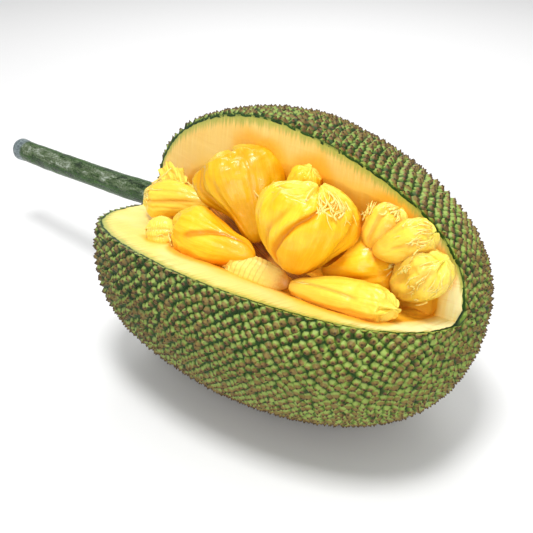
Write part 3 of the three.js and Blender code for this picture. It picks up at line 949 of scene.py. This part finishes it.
def bulb_point(row, t, turn, grow=1.0):
    """A point on a bulb: t of the way along it, on its ring's oval at that turn."""
    base, length, axis, side, face = bulb_axes(row)
    r = bulb_ring(row, t) * grow
    return (base + axis * (length * t)[..., None]
            + side * (r * np.cos(turn) * row[2] / 2 * MM)[..., None]
            + face * (r * np.sin(turn) * row[3] / 2 * MM)[..., None])


def press(points, rows):
    """Points that lie just inside a neighbouring bulb are moved out to its surface, so that
    touching bulbs flatten against each other."""
    for row in rows:
        base, length, axis, side, face = bulb_axes(row)
        q = points - base
        t = (q @ axis) / length
        r = bulb_ring(row, t) + 1e-9
        across = q @ side / (row[2] / 2 * MM)
        out = q @ face / (row[3] / 2 * MM)
        share = np.hypot(across, out) / r
        inside = (t > 0.02) & (t < 0.98) & (share > 0.55) & (share < 1.0)
        push = np.where(inside, 1.0 / np.maximum(share, 0.55), 1.0)
        extra = (push - 1)[..., None]
        points = points + extra * (side * (q @ side)[..., None] + face * (q @ face)[..., None])
    return points


# closeness drives the painted contact shade on the bulbs, and round them on the pith
def closeness(points, name, reach=6 * MM):
    """1 where another bulb touches the point, or a cut face if the point is on a named bulb,
    falling off over that reach."""
    nearest = np.full(points.shape[:-1], 1.0)
    for other, row in BULBS.items():
        if other == name:
            continue
        base, length, axis, side, face = bulb_axes(row)
        q = points - base
        t = np.clip((q @ axis) / length, 0.03, 0.97)
        r = bulb_ring(row, t)
        off = q - axis * (length * t)[..., None]
        across = off @ side / (row[2] / 2 * MM * r)
        out = off @ face / (row[3] / 2 * MM * r)
        beyond = off @ axis
        share = np.hypot(across, out) + 1e-9
        gap = np.linalg.norm(off, axis=-1) * np.maximum(1 - 1 / share, 0) + np.abs(beyond)
        nearest = np.minimum(nearest, gap)
    if name:
        back, front = past_cuts(points)
        nearest = np.minimum(nearest, np.maximum(np.minimum(back, front), 0))
    return np.exp(-(nearest / reach) ** 2)


def bulb(name, row, seed, rows=120, columns=168, ribs=0.0, lumps=0.10, pressed=()):
    """A bulb's skin: the bulb formula, less depth * exp(-(a / w)^2) of the radius at each fold,
    plus a bell-shaped rise or dimple for each lobe, soft lumps and fine lengthwise wrinkles.
    Ribs, if any, run across it. Some bulbs have blunter ends, the wide end is crumpled, and
    what lies just inside a bulb made earlier is pressed out of it."""
    f, turn = stations(rows, columns)
    t, a = np.broadcast_arrays(((1 - np.cos(f)) / 2)[:, None], turn[None, :])
    flat = vectors(np.cos(a) * 1.2, np.sin(a) * 1.2, t * 1.6)
    wander = 0.07 * noise(flat, 0.9, seed) + 0.03 * noise(flat, 0.25, seed + 1)
    crease = 0 * t
    lip = 0 * t
    for degrees, depth, width, drift, begin, finish in FOLDS.get(name, ()):
        where = math.radians(degrees) + math.radians(drift) * (t - 0.3) + wander
        gap = np.angle(np.exp(1j * (a - where))) / math.radians(width)
        ends = step(begin - 0.06, begin + 0.12, t) * (1 - step(finish - 0.12, finish + 0.06, t))
        crease = crease + depth * (0.75 * np.exp(-gap ** 2) + 0.25 * np.exp(-np.abs(gap) / 2.5)) * ends
        lip = lip + 0.40 * depth * np.exp(-((gap - 2.6) / 2.0) ** 2) * ends
    rise = 0.0
    for along, degrees, height, wide, spread in LOBES.get(name, ()):
        gap = np.angle(np.exp(1j * (a - math.radians(degrees)))) / math.radians(spread)
        rise = rise + height * np.exp(-gap ** 2 - ((t - along) / wide) ** 2)
    stretched = vectors(np.cos(a) * 1.2, np.sin(a) * 1.2, t * 0.35)
    wrinkle = noise(stretched, 0.16, seed + 5)
    carved = 0.050 if name == "bulb_shoulder" else 0.024
    window = step(0.05, 0.3, t)
    shape = 1 - crease + lip + rise - carved * np.abs(wrinkle) * window
    shape = shape + lumps * noise(flat, 0.62, seed + 7) + 0.4 * lumps * noise(flat, 0.26, seed + 9)
    if ribs:
        across = t * 13 + 0.3 * np.sin(2 * a) + 3 * wander
        rib = np.exp(-((across - np.round(across)) / 0.13) ** 2)
        rib = rib * step(0.2, 0.45, t) * (1 - step(0.88, 0.97, t))
        shape = shape - ribs * rib
        crease = crease + 0.06 * rib
    shape = shape * (np.sin(f) ** (BLUNT.get(name, RING_POWER) - RING_POWER))[:, None]
    points = bulb_point(row, t, a, shape)
    base, length, axis, _, face = bulb_axes(row)
    outward = unit(points - (base + axis * (length * t)[..., None]))
    crumple = 1.3 * noise(points, 6.5 * MM, seed + 11) + 0.6 * noise(points, 2.8 * MM, seed + 12)
    points = points + outward * (crumple * MM * (0.25 + 0.75 * step(0.55, 0.92, t)))[..., None]
    puckered = noise(vectors(np.cos(a) * 3, np.sin(a) * 3, t * 9), 1.0, seed + 3)
    end = step(0.84, 1.0, t)
    points = points + (axis * (-0.05 * length * end * (1.0 + 1.6 * puckered))[..., None])
    points = points + face * (0.6 * MM * puckered * step(0.7, 0.9, t))[..., None]
    if pressed:
        points = press(points, pressed)
    # high is 1 on ridges, lips and lobes, for a painted highlight
    high = np.clip(0.5 + 0.5 * noise(flat, 0.4, seed + 21) + lip * 5 + rise * 2, 0, 1)
    # fold and near feed the flesh material's painted shade in the creases and where bulbs or cut faces are
    # close
    return closed_grid(name + "_skin", points, uv=unrolled(a, t),
                       values={"fold": np.clip(crease / 0.10, 0, 1), "high": high,
                               "near": closeness(points, name)})


# ---- add-on --------------------------------------------------------------------------
def tint(name, description, *colour):
    """A colour that a user may change."""
    return bpy.props.FloatVectorProperty(
        name=name, description=description, default=paint(*colour), subtype="COLOR", size=3,
        min=0, max=1)


class JackfruitSizes(bpy.types.PropertyGroup):
    """Sizes and colours that a user may change."""

    spine_gap: bpy.props.FloatProperty(
        name="Spine gap", description="Distance between neighbouring spines", default=7.7 * MM,
        min=0.004, max=0.02, unit="LENGTH")
    rind_green: tint("Rind green", "Flanks of the darker spines", 42, 76, 16)
    rind_bright: tint("Bright rind", "Flanks of the lighter spines", 102, 130, 42)
    # the groove colour is partly painted shade in the recesses between the spines
    rind_groove: tint("Groove", "Skin between the spines", 10, 38, 5)
    pith_cream: tint("Pith", "Cut pith", 244, 208, 116)
    wall_gold: tint("Hollow wall", "Wall of the hollow behind the bulbs", 255, 200, 56)
    flesh_gold: tint("Flesh", "Flanks of the bulbs", 252, 196, 8)
    flesh_deep: tint("Deep flesh", "Deeper patches of the bulbs", 247, 176, 0)
    # pale flesh is also the painted highlight on the bulbs' ridges
    flesh_pale: tint("Pale flesh", "Ridges of the bulbs", 255, 230, 64)
    rag_pale: tint("Rag", "Loose fibres and rag", 255, 234, 130)
    core_orange: tint("Core", "Fibres of the core", 222, 146, 36)
    bark_green: tint("Bark", "Stalk bark", 56, 100, 14)
    bark_dark: tint("Dark bark", "Darker streaks of the stalk", 20, 46, 12)


def settle(piece, material, slot, *nodes):
    """Gives a piece its material and its place in the frame."""
    piece.data.materials.append(material)
    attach(piece, "root")
    if nodes:
        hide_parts(*nodes)


class BuildRind(bpy.types.Operator):
    """Builds the skin and the spines"""

    bl_idname = "jackfruit.rind"
    bl_label = "Rind"

    def execute(self, context):
        sizes = context.scene.jackfruit
        settle(rind_skin(), skin_material(sizes), "rind", "husk")
        rind = rind_material(sizes)
        settle(spines(sizes, "spines_stem_half", -2.0, 0.0), rind, "rind", "husk")
        settle(spines(sizes, "spines_blossom_half", 0.0, 2.0), rind, "rind", "husk")
        return {"FINISHED"}


class BuildPith(bpy.types.Operator):
    """Builds the cut pith and its hollow"""

    bl_idname = "jackfruit.pith"
    bl_label = "Pith"

    def execute(self, context):
        settle(pith_body(), pith_material(context.scene.jackfruit), "rag", "husk")
        return {"FINISHED"}


class BuildBulbs(bpy.types.Operator):
    """Builds every bulb and the ribbed rag"""

    bl_idname = "jackfruit.bulbs"
    bl_label = "Bulbs"

    def execute(self, context):
        sizes = context.scene.jackfruit
        flesh = flesh_material(sizes, "flesh")
        amber = flesh_material(sizes, "amber_flesh", 0.0, 1.0)
        light = flesh_material(sizes, "light_flesh", 0.30)
        pale = flesh_material(sizes, "pale_flesh", 0.5)
        tip = flesh_material(sizes, "tip_flesh", 0.45)
        skins = {"bulb_stem_lower": pale, "bulb_tip": tip, "bulb_shoulder": amber,
                 "bulb_front": light, "bulb_far_right": light, "bulb_upper_right": light,
                 "bulb_stem_upper": light}
        made = []
        for seed, (name, row) in enumerate(BULBS.items()):
            ribs = 0.05 if name == "bulb_stem_lower" else 0.0
            piece = bulb(name, row, 31 + 10 * seed, ribs=ribs, pressed=tuple(made))
            settle(piece, skins.get(name, flesh), "flesh", name)
            made.append(row)
        piece = bulb("rag_ribbed", RAG_RIBBED, 401, ribs=0.035, pressed=tuple(made))
        settle(piece, ribbed_material(sizes), "rag", "rag_ribbed")
        return {"FINISHED"}


class BuildCore(bpy.types.Operator):
    """Builds the fibrous core"""

    bl_idname = "jackfruit.core"
    bl_label = "Core"

    def execute(self, context):
        f, turn = stations(160, 60)
        t = (1 - np.cos(f)) / 2
        line = smooth_line(CORE_LINE, 400)
        at = vectors(*(np.interp(t, np.linspace(0, 1, 400), line[:, k]) for k in range(3)))
        place = vectors(np.cos(turn)[None] * 2, np.sin(turn)[None] * 2, t[:, None] * 9)
        strands = place * np.array((1, 1, 0.12))
        rough = 1.25 + 0.14 * noise(place, 0.35, 61) + 0.16 * noise(strands, 0.3, 62)
        r = CORE_RADIUS * (np.sin(f) ** 0.6)[:, None] * rough
        points = (at + CORE_SHIFT)[:, None] + vectors(0.0, r * np.cos(turn), r * np.sin(turn))
        piece = closed_grid("core_fibres", points, uv=unrolled(turn, t[:, None]))
        settle(piece, core_material(context.scene.jackfruit), "core", "core")
        return {"FINISHED"}


class BuildStem(bpy.types.Operator):
    """Builds the stalk"""

    bl_idname = "jackfruit.stem"
    bl_label = "Stalk"

    def execute(self, context):
        rows, columns = 220, 72
        line = smooth_line(STEM_LINE, rows)
        ahead = unit(np.gradient(line, axis=0))
        side = unit(np.cross(ahead, np.array([0, 0, 1.0])))
        up = np.cross(side, ahead)
        turn = stations(rows, columns)[1]
        share = np.linspace(0, 1, rows)[:, None]
        place = vectors(np.cos(turn)[None] * 1.1, np.sin(turn)[None] * 1.1, share * 12)
        swell = 1 + 0.035 * noise(place, 1.2, 71) + 0.02 * noise(place, 0.5, 72)
        swell = swell + 0.01 * noise(place, 0.18, 73)
        swell = swell + 0.07 * step(0.93, 0.985, share) - 0.10 * step(0.991, 1.0, share)
        swell = swell + 0.10 * (1 - step(0.0, 0.09, share))
        r = STEM_RADIUS * np.clip(swell, 0.8, 1.1)
        points = (line[:, None] + side[:, None] * (r * np.cos(turn))[..., None]
                  + up[:, None] * (r * np.sin(turn))[..., None])
        outward = unit(points - line[:, None])
        # the sawn end closes over a slightly hollowed face
        sawn = ((0.86, 0.2), (0.6, 0.9), (0.3, 1.4), (0.08, 1.6))
        rings = [line[-1] + (points[-1] - line[-1]) * shrink - ahead[-1] * dent * MM
                 for shrink, dent in sawn]
        points = np.concatenate([points, np.stack(rings)], axis=0)
        face = np.ones((len(sawn), columns))
        end = np.concatenate([step(0.86, 0.985, share) * 0.75 + 0 * turn, face], axis=0)
        # painted highlight mask: 1 where the bark faces the camera, tilted a little upward
        lit = LOOK + np.array((0.0, 0.0, 0.22))
        lit = unit(lit - ahead * (ahead @ lit)[:, None])
        painted_highlight = step(0.50, 0.98, (outward * lit[:, None]).sum(-1))
        painted_highlight = np.concatenate([painted_highlight, face], axis=0)
        along = np.concatenate([share[:, 0], 1 + 0.01 * np.arange(len(sawn))])
        uv = unrolled(turn, along[:, None])
        piece = closed_grid("stalk", points, uv=uv, values={"end": end, "painted_highlight": painted_highlight}, sharp=40)
        settle(piece, bark_material(context.scene.jackfruit), "bark", "stem")
        return {"FINISHED"}


# frayed patches: bulb, middle along it, spread, middle round it (degrees), spread, fibres,
# how far each runs along, how far it stands off (mm)
FRAYS = (
    ("bulb_middle", 0.86, 0.09, 62, 34, 34, 0.13, 4.0),
    ("bulb_middle", 0.78, 0.05, 176, 16, 20, 0.09, 5.0),
    ("bulb_upper_right", 0.88, 0.08, 110, 60, 18, 0.16, 3.0),
    ("bulb_upper_right", 0.62, 0.16, 165, 30, 12, 0.26, 7.0),
    ("bulb_far_right", 0.78, 0.16, 100, 60, 26, 0.20, 4.0),
    ("bulb_tip", 0.62, 0.25, 95, 70, 34, 0.22, 5.0),
    ("bulb_right", 0.86, 0.08, 90, 60, 26, 0.16, 2.5),
    ("bulb_stem_upper", 0.88, 0.08, 90, 70, 24, 0.16, 2.5),
    ("bulb_stem_upper", 0.40, 0.16, 8, 22, 12, 0.24, 9.0),
    ("bulb_left", 0.93, 0.05, 150, 40, 12, 0.10, 2.5),
    ("bulb_stem_lower", 0.60, 0.25, 90, 60, 20, 0.30, 2.0),
    ("bulb_left", 0.08, 0.06, 170, 40, 12, 0.12, 2.5),
    ("bulb_front", 0.06, 0.05, 90, 80, 14, 0.12, 2.5),
    ("bulb_shoulder", 0.42, 0.06, 60, 16, 6, 0.10, 3.0),
)


class BuildFibres(bpy.types.Operator):
    """Builds the loose fibres and the torn flap"""

    bl_idname = "jackfruit.fibres"
    bl_label = "Fibres"

    def execute(self, context):
        sizes = context.scene.jackfruit
        rag = rag_material(sizes)
        u = np.linspace(0, 1, 12)
        rng = np.random.default_rng(5)
        paths = []
        widths = []
        for name, t0, dt, a0, da, count, run, lift in FRAYS:
            t = np.clip(t0 + dt * rng.normal(0, 0.5, count), 0.02, 0.97)
            a = np.radians(a0 + da * rng.normal(0, 0.5, count))
            run_t = 0.8 * run * rng.uniform(0.4, 1.4, count) * np.sign(rng.normal(0.8, 1.0, count))
            run_a = 0.15 * rng.normal(0, 1.0, count)
            bend = rng.normal(0, 0.07, count)
            along = np.clip(t[:, None] + run_t[:, None] * u, 0.01, 0.985)
            turn = a[:, None] + run_a[:, None] * u + bend[:, None] * np.sin(u * math.pi)
            high = lift * MM * rng.random(count)[:, None] * (0.15 + u ** 1.5)
            grow = 1.0 + high / (BULBS[name][2] / 2 * MM)
            paths.append(bulb_point(BULBS[name], along, turn, grow))
            thick = rng.uniform(0.40, 1.05, count)[:, None] * MM
            widths.append(thick * (1 - 0.75 * u ** 2))
        fibres = tubes("fibres", np.concatenate(paths), np.concatenate(widths), sides=5)
        settle(fibres, rag, "rag")
        line = smooth_line(LONG_FIBRE_LINE, 14)
        main = tubes("long_fibre", line[None], np.linspace(1.0, 0.7, 14)[None] * MM, sides=8)
        settle(main, rag, "rag", "rag_fibre")
        self.flap(flesh_material(sizes, "flap", 0.55))
        return {"FINISHED"}

    def flap(self, material):
        """A torn membrane: a thin pillow bowed like its solid, folded along noise ridges and
        with a ragged outline. Lengths are in mm."""
        f, turn = stations(90, 150)
        f, turn = f[:, None], turn[None]
        circle = vectors(np.cos(turn) * 2, np.sin(turn) * 2, 0.0)
        ragged = 0.95 + 0.26 * noise(circle, 0.7, 91) + 0.09 * noise(circle, 0.2, 93)
        ring = np.sin(f) ** 0.7
        x = 20 * ring * np.cos(turn) * ragged
        z = 16 * ring * np.sin(turn) * ragged
        thick = 0.6 * np.cos(f)
        ridge = noise(vectors(x + 0.5 * z, 0.22 * z, 0.0), 3.2, 92)
        fold = 3.4 * np.abs(ridge) + 2.0 * noise(vectors(x, z, 0.0), 8.0, 94)
        y = -29 + thick - fold - 0.008 * x * x + 0.12 * z
        points = vectors(-127 + x - 0.2 * z, y, 54 + z) * MM + np.array([0, 0, REST_HEIGHT])
        # fold marks the flap's creases, where the flesh material paints shade
        piece = closed_grid("torn_flap", points, uv=vectors((x + 0.5 * z) / 60, z / 60 + 0.5),
                            values={"fold": np.exp(-(ridge / 0.1) ** 2) * 0.7})
        settle(piece, material, "rag", "rag_flap")


class BuildStage(bpy.types.Operator):
    """Builds the floor, the lights and the camera"""

    bl_idname = "jackfruit.stage"
    bl_label = "Stage"

    def execute(self, context):
        corners = [(x * FLOOR_HALF, y * FLOOR_HALF, 0) for x, y in ((-1, -1), (1, -1), (1, 1), (-1, 1))]
        floor = make_object("floor", corners, [(0, 1, 2, 3)], smooth=False)
        s = Shader("floor", specular_ior_level=0.2, roughness=0.8)
        speck = s.cloud(s.place(), 40.0, 2.0)
        pale = s.mix(speck * 0.1, (0.90, 0.90, 0.90), (0.86, 0.86, 0.86))
        floor.data.materials.append(s.finish(base_color=pale))
        world = bpy.data.worlds.new("studio")
        world.use_nodes = True
        sky = world.node_tree.nodes["Background"].inputs
        sky[0].default_value = (1, 1, 1, 1)
        sky[1].default_value = WORLD_LIGHT
        context.scene.world = world
        context.scene.view_settings.view_transform = "Standard"
        for name, place, size, power in LIGHTS:
            light = bpy.data.lights.new(name, "AREA")
            light.energy = power
            light.size = size
            lamp = bpy.data.objects.new(name, light)
            away = unit(np.array(place) - np.array([0, 0, REST_HEIGHT]))
            right = unit(np.cross((0, 0, 1.0), away))
            turn = Matrix((right, np.cross(away, right), away)).transposed().to_4x4()
            turn.translation = place
            lamp.matrix_world = turn
            context.scene.collection.objects.link(lamp)
        lens = bpy.data.cameras.new("camera")
        lens.lens = LENS
        lens.sensor_width = SENSOR
        camera = bpy.data.objects.new("camera", lens)
        back = np.cross(CAMERA_RIGHT, CAMERA_UP)
        turn = Matrix((CAMERA_RIGHT, CAMERA_UP, tuple(back))).transposed().to_4x4()
        turn.translation = CAMERA_PLACE
        camera.matrix_world = turn
        context.scene.collection.objects.link(camera)
        context.scene.camera = camera
        return {"FINISHED"}


class JackfruitPanel(bpy.types.Panel):
    """Sizes, colours and build buttons."""

    bl_idname = "VIEW3D_PT_jackfruit"
    bl_label = "Jackfruit"
    bl_space_type = "VIEW_3D"
    bl_region_type = "UI"
    bl_category = "Jackfruit"

    def draw(self, context):
        for key in JackfruitSizes.__annotations__:
            self.layout.prop(context.scene.jackfruit, key)
        for made in OPERATORS:
            self.layout.operator(made.bl_idname)


OPERATORS = (BuildRind, BuildPith, BuildBulbs, BuildCore, BuildStem, BuildFibres, BuildStage)


def register():
    for one in (JackfruitSizes, *OPERATORS, JackfruitPanel):
        bpy.utils.register_class(one)
    bpy.types.Scene.jackfruit = bpy.props.PointerProperty(type=JackfruitSizes)


def unregister():
    del bpy.types.Scene.jackfruit
    for one in reversed((JackfruitSizes, *OPERATORS, JackfruitPanel)):
        bpy.utils.unregister_class(one)


def main():
    register()
    for name in ("rind", "pith", "bulbs", "core", "stem", "fibres", "stage"):
        getattr(bpy.ops.jackfruit, name)()
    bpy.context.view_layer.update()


if __name__ == "__main__":
    main()
